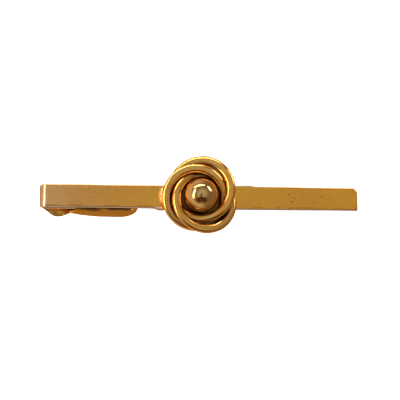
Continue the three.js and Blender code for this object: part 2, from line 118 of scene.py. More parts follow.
# ---- node helpers ----
class Nodes:
    """A node tree, with short calls for the nodes used here."""

    def __init__(self, tree, coords):
        self.tree = tree
        self.coords = tree.nodes.new("ShaderNodeTexCoord").outputs[coords]

    def put(self, socket, value):
        if isinstance(value, bpy.types.NodeSocket):
            self.tree.links.new(value, socket)
        else:
            socket.default_value = value

    def mapping(self, scale):
        node = self.tree.nodes.new("ShaderNodeMapping")
        self.tree.links.new(self.coords, node.inputs["Vector"])
        node.inputs["Scale"].default_value = scale
        return node.outputs[0]

    def noise(self, scale, detail=3.0, rough=0.55, vector=None):
        node = self.tree.nodes.new("ShaderNodeTexNoise")
        self.tree.links.new(vector or self.coords, node.inputs["Vector"])
        node.inputs["Scale"].default_value = scale
        node.inputs["Detail"].default_value = detail
        node.inputs["Roughness"].default_value = rough
        return node.outputs["Fac"]

    def pits(self, spots, height):
        """1 inside small round spots given as (x, y, radius) in millimetres, fading to 0 at their rims."""
        found = 0.0
        for x, y, radius in spots:
            node = self.tree.nodes.new("ShaderNodeVectorMath")
            node.operation = "DISTANCE"
            self.tree.links.new(self.coords, node.inputs[0])
            node.inputs[1].default_value = (x * MM, y * MM, height)
            spot = self.map_range(node.outputs["Value"], 0.5 * radius * MM, 1.3 * radius * MM, 1.0, 0.0)
            found = self.math("MAXIMUM", spot, found)
        return found

    def ramp(self, factor, stops):
        node = self.tree.nodes.new("ShaderNodeValToRGB")
        self.tree.links.new(factor, node.inputs[0])
        elements = node.color_ramp.elements
        while len(elements) < len(stops):
            elements.new(0.5)
        for element, (place, colour) in zip(elements, stops):
            element.position = place
            element.color = (*colour, 1)
        return node.outputs["Color"]

    def math(self, operation, a, b=0.0):
        node = self.tree.nodes.new("ShaderNodeMath")
        node.operation = operation
        self.put(node.inputs[0], a)
        self.put(node.inputs[1], b)
        return node.outputs[0]

    def mix(self, factor, a, b):
        node = self.tree.nodes.new("ShaderNodeMix")
        node.data_type = "RGBA"
        self.put(node.inputs[0], factor)
        self.put(node.inputs[6], a if isinstance(a, bpy.types.NodeSocket) else (*a, 1))
        self.put(node.inputs[7], b if isinstance(b, bpy.types.NodeSocket) else (*b, 1))
        return node.outputs[2]

    def map_range(self, value, low, high, out_low=0.0, out_high=1.0, smooth=False):
        node = self.tree.nodes.new("ShaderNodeMapRange")
        node.interpolation_type = "SMOOTHSTEP" if smooth else "LINEAR"
        self.put(node.inputs[0], value)
        for index, number in enumerate((low, high, out_low, out_high)):
            node.inputs[index + 1].default_value = number
        return node.outputs[0]

    def separate(self):
        node = self.tree.nodes.new("ShaderNodeSeparateXYZ")
        self.tree.links.new(self.coords, node.inputs[0])
        return node.outputs

    def towards(self, direction):
        """Cosine of the angle between the coordinates and a direction."""
        node = self.tree.nodes.new("ShaderNodeVectorMath")
        node.operation = "DOT_PRODUCT"
        self.tree.links.new(self.coords, node.inputs[0])
        node.inputs[1].default_value = direction
        return node.outputs["Value"]

    def bump(self, height, strength, distance, normal=None):
        node = self.tree.nodes.new("ShaderNodeBump")
        self.put(node.inputs["Height"], height)
        node.inputs["Strength"].default_value = strength
        node.inputs["Distance"].default_value = distance
        if normal is not None:
            self.tree.links.new(normal, node.inputs["Normal"])
        return node.outputs[0]

    def crevice(self, reach):
        """1 on open surface, falling to 0 deep between neighbouring pieces."""
        node = self.tree.nodes.new("ShaderNodeAmbientOcclusion")
        node.samples = 8
        node.inputs["Distance"].default_value = reach
        return node.outputs["AO"]


class Paint(Nodes):
    """A material with one Principled shader, metal unless told otherwise."""

    def __init__(self, name, metallic=1.0):
        self.material = bpy.data.materials.new(name)
        self.material.use_nodes = True
        self.material.node_tree.nodes.clear()
        super().__init__(self.material.node_tree, "Object")
        output = self.tree.nodes.new("ShaderNodeOutputMaterial")
        self.shader = self.tree.nodes.new("ShaderNodeBsdfPrincipled")
        self.tree.links.new(self.shader.outputs[0], output.inputs["Surface"])
        self.shader.inputs["Metallic"].default_value = metallic

    def finish(self, colour, roughness, normal=None):
        self.put(self.shader.inputs["Base Color"], colour)
        self.put(self.shader.inputs["Roughness"], roughness)
        if normal is not None:
            self.put(self.shader.inputs["Normal"], normal)
        return self.material


# ---- materials ----
# Near-black brown for painted shade in crevices, along the bar's back edge and under the bar, and for
# patina and the bar's pits.
SHADE_AND_PATINA = (0.05, 0.016, 0.005)


def polish_marks(n, scale):
    """Fine grain drawn out along the bar, as polishing and wiping leave it."""
    return n.noise(scale, 4, 0.6, n.mapping((0.06, 1, 1)))


def gold(name, light, deep, roughness, reach, shade_and_patina_limit=0.6, wear=0.06):
    """Gold plate: soft clouds of two tones, crevices darkened with painted shade and patina, fine polishing
    marks.

    reach is how far the painted crevice shade reaches, and grime is how open a place may be and still
    darken.
    """
    n = Paint(name)
    clouds = n.map_range(n.noise(300, 3), 0.35, 0.65)
    # Painted crevice shade, which also stands for patina: darker where neighbouring surfaces are close.
    crevice_shade_and_patina = n.map_range(n.crevice(reach), 0.2, shade_and_patina_limit, 1.0, 0.0)
    colour = n.mix(crevice_shade_and_patina, n.mix(clouds, deep, light), SHADE_AND_PATINA)
    marks = polish_marks(n, 5200)
    smudges = n.noise(420, 2)
    rough = n.math("ADD", n.map_range(marks, 0.3, 0.7, roughness, roughness + wear),
                   n.map_range(smudges, 0.45, 0.8, 0.0, 0.08))
    ripple = n.bump(n.noise(800, 2), 0.12, 0.03 * MM)
    return n.finish(colour, rough, n.bump(marks, 0.05, 0.002 * MM, ripple))


def bar_gold():
    """The bar: rosier at the folded end, more amber towards the free end, with a few pits."""
    n = Paint("gold_bar")
    place = n.separate()
    length = n.map_range(place[0], BAR_LOW.x, BAR_HIGH.x)
    body = n.ramp(length, [(0.0, (0.95, 0.70, 0.46)), (0.025, (1.0, 0.58, 0.25)),
                           (0.12, (0.92, 0.475, 0.135)), (0.24, (0.97, 0.475, 0.095)),
                           (0.40, (1.0, 0.50, 0.068)), (1.0, (1.0, 0.475, 0.06))])
    clouds = n.noise(170, 3, vector=n.mapping((0.5, 1, 1)))
    body = n.mix(n.map_range(clouds, 0.35, 0.7, 0.0, 0.35), body, (0.78, 0.36, 0.07))
    blotches = n.map_range(n.noise(620, 3, 0.6), 0.58, 0.72, 0.0, 0.05)
    body = n.mix(blotches, body, (0.55, 0.24, 0.05))
    pit = n.pits(PITS, STRIP)
    # Painted crevice shade, which also stands for patina: darker where other parts sit close to the bar.
    crevice_shade_and_patina = n.map_range(n.crevice(0.8 * MM), 0.15, 0.6, 1.0, 0.0)
    # Paler colour along both long edges: a painted highlight, and also plating worn off the edges.
    edge_highlight_and_wear = n.map_range(n.math("ABSOLUTE", place[1]), HALF_BAR - 0.24 * MM, HALF_BAR - 0.10 * MM)
    colour = n.mix(edge_highlight_and_wear, body, (1.0, 0.80, 0.56))
    # Painted shade: the back half of the strip is darkened, strongest towards the folded end and not on the
    # fold, as the dark line along the bar's lower edge.
    from_back = n.math("ABSOLUTE", n.math("SUBTRACT", place[2], 0.1 * MM))
    painted_back_edge_shade = n.map_range(from_back, 0.42 * MM, 0.56 * MM, 1.0, 0.0)
    painted_back_edge_shade = n.math("MULTIPLY", painted_back_edge_shade, n.map_range(length, 0.2, 0.5, 0.95, 0.5))
    past_fold = n.map_range(place[0], FOLD_X - 0.3 * MM, FOLD_X + 0.3 * MM)
    painted_back_edge_shade = n.math("MULTIPLY", painted_back_edge_shade, past_fold)
    # Painted shade from the crevices and the back edge, and the dark pits, all take the same near-black
    # brown.
    shade_and_patina_mask = n.math("MAXIMUM", n.math("MAXIMUM", crevice_shade_and_patina, painted_back_edge_shade), pit)
    colour = n.mix(shade_and_patina_mask, colour, SHADE_AND_PATINA)
    marks = polish_marks(n, 4200)
    rough = n.math("ADD", n.map_range(marks, 0.3, 0.7, 0.17, 0.23),
                   n.map_range(clouds, 0.4, 0.7, 0.0, 0.07))
    normal = n.bump(n.noise(430, 2), 0.015, 0.03 * MM)
    normal = n.bump(marks, 0.05, 0.002 * MM, normal)
    normal = n.bump(pit, 0.4, -0.04 * MM, normal)
    return n.finish(colour, rough, normal)


def jaw_gold():
    """The jaw: paler at the thumb pad as painted light, deep amber along the walls, painted shadow where
    the walls meet the bar.
    """
    n = Paint("gold_jaw")
    place = n.separate()
    along = n.map_range(place[0], HINGE.x, JAW_HIGH.x)
    body = n.ramp(along, [(0.0, (0.95, 0.52, 0.10)), (0.45, (0.95, 0.52, 0.09)), (1.0, (0.86, 0.42, 0.06))])
    # Paler gold on the thumb pad is painted light: it makes up for the darker gold the pad reflects from
    # the bar above.
    pad = n.map_range(place[0], HINGE.x - 0.6 * MM, HINGE.x + 0.6 * MM, 1.0, 0.0, smooth=True)
    body = n.mix(pad, body, (1.0, 0.64, 0.16))
    clouds = n.map_range(n.noise(420, 3), 0.4, 0.68, 0.0, 0.45)
    body = n.mix(clouds, body, (0.78, 0.38, 0.06))
    # Painted shadow: the walls darken towards their tops, where they tuck under the bar, fading out partway
    # to the tip; it stays on the walls when the jaw opens.
    painted_shadow_under_bar = n.map_range(place[2], -2.3 * MM, -0.7 * MM, 0.0, 0.9, smooth=True)
    painted_shadow_under_bar = n.math("MULTIPLY", painted_shadow_under_bar, n.map_range(along, 0.40, 0.52, 1.0, 0.0))
    # Painted crevice shade, which also stands for patina; neither this nor the painted shadow reaches the
    # thumb pad.
    crevice_shade_and_patina = n.map_range(n.crevice(0.45 * MM), 0.15, 0.55, 1.0, 0.0)
    shade_and_patina_mask = n.math("MULTIPLY", n.math("MAXIMUM", painted_shadow_under_bar, crevice_shade_and_patina), n.math("SUBTRACT", 1.0, pad))
    colour = n.mix(shade_and_patina_mask, body, SHADE_AND_PATINA)
    marks = polish_marks(n, 5200)
    normal = n.bump(n.noise(700, 2), 0.14, 0.03 * MM)
    normal = n.bump(marks, 0.05, 0.002 * MM, normal)
    return n.finish(colour, n.map_range(marks, 0.3, 0.7, 0.14, 0.22), normal)


def pale_floor():
    """White ground with a barely visible speckle."""
    n = Paint("floor_paint", 0.0)
    speckle = n.noise(60, 4)
    colour = n.mix(n.map_range(speckle, 0.3, 0.7), (0.93, 0.93, 0.93), (0.96, 0.96, 0.96))
    return n.finish(colour, 0.9)


def spring_wire():
    """Bare drawn steel wire."""
    n = Paint("spring_wire")
    marks = n.noise(3000, 3)
    colour = n.mix(marks, (0.42, 0.40, 0.36), (0.62, 0.59, 0.54))
    return n.finish(colour, n.map_range(marks, 0.3, 0.7, 0.22, 0.36))


GOLD_BAR = bar_gold()
GOLD_WIRE = gold("gold_wire", (1.0, 0.60, 0.18), (1.0, 0.47, 0.09), 0.16, 1.3 * MM, shade_and_patina_limit=0.95, wear=0.03)
GOLD_BASE = gold("knot_base_gold", (0.80, 0.42, 0.10), (0.62, 0.30, 0.06), 0.30, 1.6 * MM,
                 shade_and_patina_limit=0.9, wear=0.10)
GOLD_BALL = gold("gold_ball", (0.95, 0.60, 0.23), (0.62, 0.37, 0.12), 0.07, 0.9 * MM, wear=0.04)
GOLD_MECHANISM = gold("gold_mechanism", (0.90, 0.50, 0.13), (0.72, 0.36, 0.07), 0.18, 0.8 * MM, shade_and_patina_limit=0.85)
SOLDER = gold("solder", (0.95, 0.62, 0.24), (0.72, 0.40, 0.12), 0.26, 0.7 * MM, wear=0.12)
GOLD_JAW = jaw_gold()
SPRING_WIRE = spring_wire()


# ---- mesh helpers ----
def mesh_object(name, vertices, faces):
    mesh = bpy.data.meshes.new(name)
    mesh.from_pydata([tuple(v) for v in vertices], [], [tuple(f) for f in faces])
    mesh.validate()
    work = bmesh.new()
    work.from_mesh(mesh)
    bmesh.ops.recalc_face_normals(work, faces=work.faces)
    work.to_mesh(mesh)
    work.free()
    mesh.polygons.foreach_set("use_smooth", [True] * len(mesh.polygons))
    obj = bpy.data.objects.new(name, mesh)
    bpy.context.scene.collection.objects.link(obj)
    return obj


def loft(name, rings, closed=False):
    """Skin over rings of points, all with the same count; open lofts get flat end caps."""
    count = len(rings[0])
    vertices = [point for ring in rings for point in ring]
    faces = []
    spans = len(rings) if closed else len(rings) - 1
    for i in range(spans):
        here = i * count
        there = ((i + 1) % len(rings)) * count
        for j in range(count):
            k = (j + 1) % count
            faces.append((here + j, here + k, there + k, there + j))
    if not closed:
        faces.append(tuple(range(count)))
        last = (len(rings) - 1) * count
        faces.append(tuple(last + j for j in range(count)))
    return mesh_object(name, vertices, faces)


def turned(name, centre, profile, segments, axis="Z", wobble=None):
    """A lathe shape: profile of (radius, height), first and last points on the axis.

    wobble gives the share of the radius kept at an angle, for a shape that isn't quite round.
    """
    vertices = [Vector((0, 0, profile[0][1]))]
    for radius, height in profile[1:-1]:
        for j in range(segments):
            angle = 2 * math.pi * j / segments
            scale = wobble(angle) if wobble else 1.0
            out = radius * scale
            vertices.append(Vector((out * math.cos(angle), out * math.sin(angle), height)))
    vertices.append(Vector((0, 0, profile[-1][1])))
    top = len(vertices) - 1
    faces = []
    for j in range(segments):
        k = (j + 1) % segments
        faces.append((0, 1 + k, 1 + j))
        for i in range(len(profile) - 3):
            here = 1 + i * segments
            faces.append((here + j, here + k, here + segments + k, here + segments + j))
        last = 1 + (len(profile) - 3) * segments
        faces.append((last + j, last + k, top))
    turn = Matrix.Rotation(-math.pi / 2, 4, "X") if axis == "Y" else Matrix.Identity(4)
    return mesh_object(name, [centre + turn @ v for v in vertices], faces)


def place(obj, body, slot, material, *replaced):
    """Give a piece its material and body, and hide the frame nodes it stands for; slot is not used."""
    obj.data.materials.append(material)
    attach(obj, body)
    if replaced:
        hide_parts(*replaced)
    return obj


def smooth_step(value, low, high):
    t = min(1.0, max(0.0, (value - low) / (high - low)))
    return t * t * (3 - 2 * t)


def wander(x, y=0.0, z=0.0):
    """Smooth random value between about -1 and 1; the same place always gives the same value."""
    return noise.noise(Vector((x, y, z)))


def through(points, x):
    """A smooth curve through a few (x, value) points, level at both ends."""
    if x <= points[0][0]:
        return points[0][1]
    for (x0, v0), (x1, v1) in zip(points, points[1:]):
        if x <= x1:
            break
    else:
        return points[-1][1]
    i = points.index((x0, v0))
    before = points[max(i - 1, 0)]
    after = points[min(i + 2, len(points) - 1)]
    slope0 = (v1 - before[1]) / (x1 - before[0])
    slope1 = (after[1] - v0) / (after[0] - x0)
    span = x1 - x0
    t = (x - x0) / span
    return ((2 * t ** 3 - 3 * t ** 2 + 1) * v0 + (t ** 3 - 2 * t ** 2 + t) * span * slope0
            + (3 * t ** 2 - 2 * t ** 3) * v1 + (t ** 3 - t ** 2) * span * slope1)


# ---- bar: one strip swept along its face, round the fold and back along the leg ----
def bar_path():
    """(x, z, tilt of the strip's outer side from +Z towards -X) along the middle of the strip."""
    middle = FOLD_OUTER - STRIP / 2
    reach = middle + FOLD_LENGTHEN * MM
    stops = [BAR_HIGH.x, BAR_HIGH.x - 0.06 * MM, BAR_HIGH.x - 0.15 * MM, BAR_HIGH.x - 0.30 * MM,
             BAR_HIGH.x - 0.45 * MM, BAR_HIGH.x - CORNER_CLIP * MM]
    step = 0.35 * MM
    x = stops[-1] - step
    while x > FOLD_X + step / 2:
        stops.append(x)
        x -= step
    path = [(x, STRIP / 2, 0.0) for x in stops]
    for k in range(25):
        turn = math.pi * k / 24
        across, up = math.sin(turn), math.cos(turn)
        x = reach * abs(across) ** FOLD_SHAPE
        z = middle * math.copysign(abs(up) ** FOLD_SHAPE, up)
        tilt = math.atan2(middle * abs(across) ** (2 - FOLD_SHAPE),
                          reach * math.copysign(abs(up) ** (2 - FOLD_SHAPE), up))
        path.append((FOLD_X - x, FOLD_Z + z, tilt))
    legs = 14
    for k in range(1, legs + 1):
        path.append((FOLD_X + (LEG_END_X - FOLD_X) * k / legs, BAR_LOW.z + STRIP / 2, math.pi))
    return path


def strip_outline(half_width, half_thick, rounding):
    """Rounded rectangle of (across, outward) points, with extra points over the front face."""
    points = []
    corners = ((-1, -1, 180), (1, -1, 270), (1, 1, 0), (-1, 1, 90))
    for side, out, start in corners:
        for k in range(7):
            angle = math.radians(start + 15 * k)
            points.append((side * (half_width - rounding) + rounding * math.cos(angle),
                           out * (half_thick - rounding) + rounding * math.sin(angle)))
        if out == side:
            continue
        flat = half_width - rounding
        for share in (0.97, 0.9, 0.75, 0.55, 0.3, 0.0, -0.3, -0.55, -0.75, -0.9, -0.97):
            points.append((out * flat * share, out * half_thick))
    return points


def solder_spill(x, side):
    """Solder that ran along the strip's edges beside the knot: how far it swells the edge."""
    if side > 0:
        reach = smooth_step(x, 5.6, 7.2) * (1 - smooth_step(x, 8.8, 9.9))
        return 0.26 * reach * (0.75 + 0.55 * wander(x * 1.9, 4.0))
    reach = smooth_step(x, -8.3, -7.3) * (1 - smooth_step(x, -6.6, -5.8))
    return 0.36 * reach * (0.9 + 0.3 * wander(x * 1.7, 9.0))


def bar():
    """The strip, with the small faults of a pressed, soldered and handled one."""
    rings = []
    for x, z, tilt in bar_path():
        at = x / MM
        narrowing = FOLD_NARROWING * MM * smooth_step(tilt, 0.55, 1.5)
        half = HALF_BAR - narrowing + EDGE_WAVER * MM * wander(at * 0.12, 1.0)
        half += 0.04 * MM * math.exp(-((at - 9) / 9) ** 2) - 0.05 * MM * smooth_step(at, 14, 24)
        from_end = BAR_HIGH.x - x if tilt == 0 else 1.0
        end_round = END_ROUND * MM * (1 - smooth_step(from_end, 0, 0.15 * MM))
        clip = max(0.0, CORNER_CLIP * MM - from_end)
        out = Vector((-math.sin(tilt), 0, math.cos(tilt)))
        ring = []
        for across, outward in strip_outline(half - end_round, STRIP / 2 - end_round, EDGE_ROUND * MM):
            side = 1 if across > 0 else -1
            if side > 0:
                across -= clip * across / half
            near_edge = smooth_step(abs(across) / half, 0.6, 1.0)
            if tilt == 0:
                spill = solder_spill(at, side) * near_edge * MM
                across += side * spill
                outward += SPILL_RISE * spill * (1 if outward > 0 else 0)
            if outward > 0:
                outward += FACE_RIPPLE * MM * wander(at * 0.35, across / MM * 0.5, 3.0) * (1 - near_edge)
                hollow = math.exp(-((at - PRESS_MARK_X) / PRESS_MARK_SPREAD) ** 2)
                outward -= PRESS_MARK_DEPTH * MM * hollow * (tilt == 0)
            ring.append(Vector((x, across, z)) + out * outward)
        rings.append(ring)
    place(loft("bar_strip", rings), "bar", "gold_bar", GOLD_BAR, "front_bar")


# ---- knot: three strands, each on the rings its two frame nodes give ----
def ring_of(node):
    """Centre, normal, ring radius and wire radius of a torus-shaped frame node."""
    obj = frame["nodes"][node]
    points = np.array([obj.matrix_world @ v.co for v in obj.data.vertices])
    centre = points.mean(axis=0)
    offsets = points - centre
    normal = np.linalg.svd(offsets, full_matrices=False)[2][2]
    normal = normal if normal[2] > 0 else -normal
    heights = offsets @ normal
    wire = (heights.max() - heights.min()) / 2
    reach = np.linalg.norm(offsets - np.outer(heights, normal), axis=1).max()
    return Vector(centre), Vector(normal), reach - wire, wire


def strand_band(number):
    """One strand: its two wires lie side by side, run together with solder into a single band."""
    names = [f"knot_wire_{number}_{run}" for run in ("inner", "outer")]
    (inner, normal, inner_radius, wire), (outer, _, outer_radius, _) = [ring_of(name) for name in names]
    side = Vector((1, 0, 0)).cross(normal).normalized()
    along = normal.cross(side).normalized()
    power = 2 / BAND_SQUARENESS
    steps, around = 200, 44
    rings = []
    for i in range(steps):
        angle = 2 * math.pi * i / steps
        radial = along * math.cos(angle) + side * math.sin(angle)
        tangent = side * math.cos(angle) - along * math.sin(angle)
        near = inner + radial * inner_radius
        far = outer + radial * outer_radius
        across = (far - near).normalized()
        lift = tangent.cross(across)
        waver = [wander(math.cos(angle) * 3, math.sin(angle) * 3, number + shift) for shift in (10, 20, 30)]
        half_width = ((far - near).length / 2 + wire * BAND_WIDENING) * (1 + 0.02 * waver[0])
        half_height = wire * BAND_THICKENING * (1 + 0.03 * waver[1])
        middle = (near + far) / 2 + radial * 0.02 * MM * waver[2]
        ring = []
        for j in range(around):
            turn = 2 * math.pi * j / around
            u = math.copysign(abs(math.cos(turn)) ** power, math.cos(turn))
            v = math.copysign(abs(math.sin(turn)) ** power, math.sin(turn))
            v *= 1 - BAND_GROOVE * math.exp(-(u / BAND_GROOVE_SPREAD) ** 2)
            ring.append(middle + across * half_width * u + lift * half_height * v)
        rings.append(ring)
    obj = loft(f"strand_{number}", rings, closed=True)
    place(obj, "bar", "gold_wire", GOLD_WIRE, *names)


def knot_strands():
    for number in (1, 2, 3):
        strand_band(number)


def knot_base():
    centre = (BASE_LOW + BASE_HIGH) / 2
    radius = (BASE_HIGH.x - BASE_LOW.x) / 2
    half = (BASE_HIGH.z - BASE_LOW.z) / 2
    profile = [(0, -half), (radius * 0.5, -half)]
    profile += [(radius - half + half * math.cos(a), half * math.sin(a))
                for a in (math.radians(d) for d in range(-90, 91, 30))]
    profile += [(radius * 0.5, half), (0, half)]
    obj = turned("knot_base_disc", centre, profile, 96,
                 wobble=lambda angle: 1 + 0.006 * wander(math.cos(angle), math.sin(angle), 2))
    place(obj, "bar", "gold_bar", GOLD_BASE, "knot_base")


# ---- ball and solder ----
def ball():
    radius = (BALL_HIGH.x - BALL_LOW.x) / 2
    centre = Vector(((BALL_LOW.x + BALL_HIGH.x) / 2, (BALL_LOW.y + BALL_HIGH.y) / 2, BALL_HIGH.z - radius))
    seat = BALL_LOW.z - centre.z
    start = math.asin(seat / radius)
    rings = 56
    profile = [(0, seat)]
    for i in range(rings + 1):
        angle = start + (math.pi / 2 - start) * i / rings
        profile.append((radius * math.cos(angle) if i < rings else 0, radius * math.sin(angle)))
    place(turned("ball", centre, profile, 112), "bar", "gold_ball", GOLD_BALL, "knot_ball")


def ball_solder():
    low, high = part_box("ball_solder")
    centre = Vector(((low.x + high.x) / 2, (low.y + high.y) / 2, low.z))
    radius = (high.x - low.x) / 2
    height = high.z - low.z
    profile = [(0, 0), (radius * 0.97, 0), (radius, height * 0.3), (radius * 0.95, height * 0.75),
               (radius * 0.86, height), (0, height)]
    obj = turned("ball_seat_solder", centre, profile, 60,
                 wobble=lambda angle: 1 + 0.03 * wander(2 * math.cos(angle), 2 * math.sin(angle), 5))
    place(obj, "bar", "solder", SOLDER, "ball_solder")


def knot_solder():
    """A lumpy crescent of solder, run out at the foot of the knot."""
    low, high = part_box("knot_solder")
    centre = Vector(((low.x + high.x) / 2, (low.y + high.y) / 2, low.z))
    half_x, half_y, height = (high.x - low.x) / 2, (high.y - low.y) / 2, high.z - low.z
    layers, around = 12, 72
    vertices = [centre.copy()]
    faces = []
    for i in range(layers):
        lift = math.pi / 2 * i / layers
        for j in range(around):
            angle = 2 * math.pi * j / around
            lump = 1 + 0.10 * wander(1.6 * math.cos(angle), 1.6 * math.sin(angle), 7 + i * 0.15)
            x = half_x * math.cos(angle) * math.cos(lift) ** 0.8 * lump
            y = half_y * math.sin(angle) * math.cos(lift) ** 0.8 * (1 + 0.4 * (lump - 1))
            pit = 0.35 * math.exp(-((x / MM + 0.35) ** 2 + (y / MM + 0.2) ** 2) / 0.03)
            z = height * math.sin(lift) * (0.94 + 0.12 * wander(x / MM * 2, y / MM * 1.5, 1)) * (1 - pit)
            vertices.append(centre + Vector((x, y, max(z, 0))))
    vertices.append(centre + Vector((0, 0, height * 0.95)))
    top = len(vertices) - 1
    for j in range(around):
        k = (j + 1) % around
        faces.append((0, 1 + k, 1 + j))
        for i in range(layers - 1):
            here = 1 + i * around
            faces.append((here + j, here + k, here + around + k, here + around + j))
        last = 1 + (layers - 1) * around
        faces.append((last + j, last + k, top))
    place(mesh_object("knot_foot_solder", vertices, faces), "bar", "solder", SOLDER, "knot_solder")


def bracket_solder():
    low, high = LEG_SOLDER_LOW, LEG_SOLDER_HIGH
    rings = []
    steps = 30
    half_z = (high.z - low.z) / 2
    for i in range(steps + 1):
        x = low.x + (high.x - low.x) * i / steps
        left = low.y * (1 + 0.05 * wander(x / MM * 1.3, 11))
        right = high.y * (1 + 0.05 * wander(x / MM * 1.3, 17))
        middle = (low.z + high.z) / 2
        ring = [Vector((x, left, middle))]
        for y in (left * 0.97, 0, right * 0.97):
            ring.append(Vector((x, y, middle - half_z)))
        ring.append(Vector((x, right, middle)))
        for y in (right * 0.97, 0, left * 0.97):
            ring.append(Vector((x, y, middle + half_z)))
        rings.append(ring)
    place(loft("leg_solder", rings), "bar", "solder", SOLDER, "bracket_solder")


# ---- sheet-metal sections: a U of sheet, open side given by the sign of rise ----
def u_section(x, half, floor, edge, sheet, corner, lean,
              floor_at=None, edge_at=None, hollow=True, follow=0.0):
    """One ring of a pressed tray: outer skin from edge to edge, then back along the inner skin.

    floor_at lifts the floor across its width, edge_at notches the edge, and follow is how far the
    edge rises and falls with the floor: 0 not at all, 1 all the way.
    """
    rise = edge - floor
    sign = 1 if rise > 0 else -1
    height = abs(rise)
    corner = min(corner, height * 0.85, half * 0.6)
    ring = []

    def point(y, up):
        lift = floor_at(y) if floor_at else 0.0
        drop = edge_at(y) if edge_at else 0.0
        share = up / height
        ring.append(Vector((x, y, floor + sign * up + lift * (1 - share * (1 - follow)) - drop * share)))

    outer_ups = [corner + (height - corner) * f for f in (0.96, 0.75, 0.5, 0.25, 0.0)]
    for up in outer_ups:
        point(-(half - lean * up), up)
    for k in range(1, 7):
        angle = math.pi / 2 * k / 7
        inset = corner * (1 - math.cos(angle))
        point(-(half - inset - lean * (corner - corner * math.sin(angle))), corner * (1 - math.sin(angle)))
    flat = half - corner
    for k in range(17):
        point(-flat + 2 * flat * k / 16, 0)
    for k in range(6, 0, -1):
        angle = math.pi / 2 * k / 7
        inset = corner * (1 - math.cos(angle))
        point(half - inset - lean * (corner - corner * math.sin(angle)), corner * (1 - math.sin(angle)))
    for up in reversed(outer_ups):
        point(half - lean * up, up)
    top_inset = lean * height
    for k in (1, 2, 3):
        angle = math.pi * k / 4
        point(half - top_inset - sheet / 2 + sheet / 2 * math.cos(angle),
              height - height * 0.04 + min(height * 0.04, sheet / 2) * math.sin(angle))
    inner_corner = max(corner - sheet, 0.06 * MM)
    inner_half = half - sheet
    inner_ups = [sheet + inner_corner + (height * 0.96 - sheet - inner_corner) * f
                 for f in (1.0, 0.75, 0.5, 0.25, 0.0)]
    inner = []
    for up in inner_ups:
        inner.append((inner_half - lean * up, up))
    for k in range(1, 7):
        angle = math.pi / 2 * k / 7
        inner.append((inner_half - inner_corner * (1 - math.cos(angle)) - lean * sheet,
                      sheet + inner_corner * (1 - math.sin(angle))))
    inner_flat = inner_half - inner_corner - lean * sheet
    path = inner + [(inner_flat * (1 - k / 8), sheet) for k in range(17)]
    path += [(-y, up) for y, up in reversed(inner)]
    for y, up in path:
        if hollow:
            point(y, min(max(up, sheet * 0.98), height * 0.98))
        else:
            reach = (half - top_inset - sheet / 2) * y / inner_half
            point(reach, height)
    for k in (3, 2, 1):
        angle = math.pi * k / 4
        point(-(half - top_inset - sheet / 2 + sheet / 2 * math.cos(angle)),
              height - height * 0.04 + min(height * 0.04, sheet / 2) * math.sin(angle))
    return ring


def jaw_half_width(x):
    """Half the jaw's width at its back plate, x in millimetres from the hinge pin."""
    pad = [(PAD_END, 1.25), (-3.6, 1.92), (-2.75, 2.58), (-1.75, 2.80), (-0.7, 2.64)]
    waist = [(0.45, 2.28)]
    body = [(2.4, 2.55), (4.8, 2.76), (7.6, 2.84), (9.9, 2.80), (11.3, 2.58), (12.1, 2.25), (JAW_TIP, 1.85)]
    return through(pad + waist + body, x)


def jaw_edge(x):
    """Height of the jaw's edge, x in millimetres from the hinge pin."""
    pad = [(PAD_END, -4.33), (-0.9, -4.33)]
    climb = [(0.3, -4.1), (1.05, -3.5), (1.5, -2.2), (2.1, -0.16), (5.6, -0.12)]
    dip = [(7.0, -0.55), (8.3, -1.15), (11.3, -1.15)]
    tip = [(12.0, -0.40), (12.3, -0.12)]
    return through(pad + climb + dip + tip, x)


def jaw():
    """Thumb pad, waist and boat-shaped jaw, pressed from one sheet, and its two lugs on the pin."""
    tip = JAW_TIP
    curve_start = tip - TIP_CURVE
    stops = [PAD_END + 0.04 * k * k for k in range(5)]
    while stops[-1] < curve_start - 0.15:
        stops.append(stops[-1] + 0.22)
    stops += [curve_start + TIP_CURVE * math.sin(math.radians(a)) for a in (6, 14, 22, 30, 38, 45, 52)]
    inner_end = tip - JAW_SHEET
    stops = [s for s in stops if s < inner_end - 0.02]
    stops += [inner_end - 0.005, inner_end + 0.005, tip - 0.3, tip - 0.2, tip - 0.12, tip - 0.05, tip]
    back = JAW_LOW.z / MM
    rings = []
    for s in stops:
        over = max(0.0, s - curve_start)
        floor = back + TIP_CURVE - math.sqrt(max(0.0, TIP_CURVE ** 2 - over ** 2))
        floor_inside = min(over, TIP_CURVE - JAW_SHEET)
        sheet = back + TIP_CURVE - math.sqrt((TIP_CURVE - JAW_SHEET) ** 2 - floor_inside ** 2) - floor
        half = jaw_half_width(s)
        pad = 1 - smooth_step(s, *PAD_FADE)
        crown = PAD_CROWN * pad
        end_curl = PAD_CURL * (1 - smooth_step(s, -4.7, -3.2))

        def floor_at(y, half=half, crown=crown, end_curl=end_curl):
            share = min(1.0, abs(y) / (half * MM))
            return (end_curl + crown * (PAD_MIDDLE - share ** 3)) * MM

        def edge_at(y, s=s):
            if s < inner_end:
                return 0.0
            notch = max(0.0, math.sin(abs(y) / MM * math.pi / NOTCH_WIDTH))
            return NOTCH_DEPTH * MM * notch * (abs(y) < NOTCH_REACH * MM)

        x = HINGE.x + s * MM
        edge = max(jaw_edge(s), floor + JAW_SHEET * 1.05)
        rings.append(u_section(x, half * MM, floor * MM, edge * MM, max(sheet, 0.2) * MM, JAW_CORNER * MM,
                               JAW_LEAN / JAW_HEIGHT, floor_at, edge_at, hollow=s < inner_end, follow=pad))
    place(loft("jaw_tray", rings), "jaw", "gold_mechanism", GOLD_JAW, "jaw_lever")
    for side, name in ((1, "far"), (-1, "near")):
        lug(name, side)


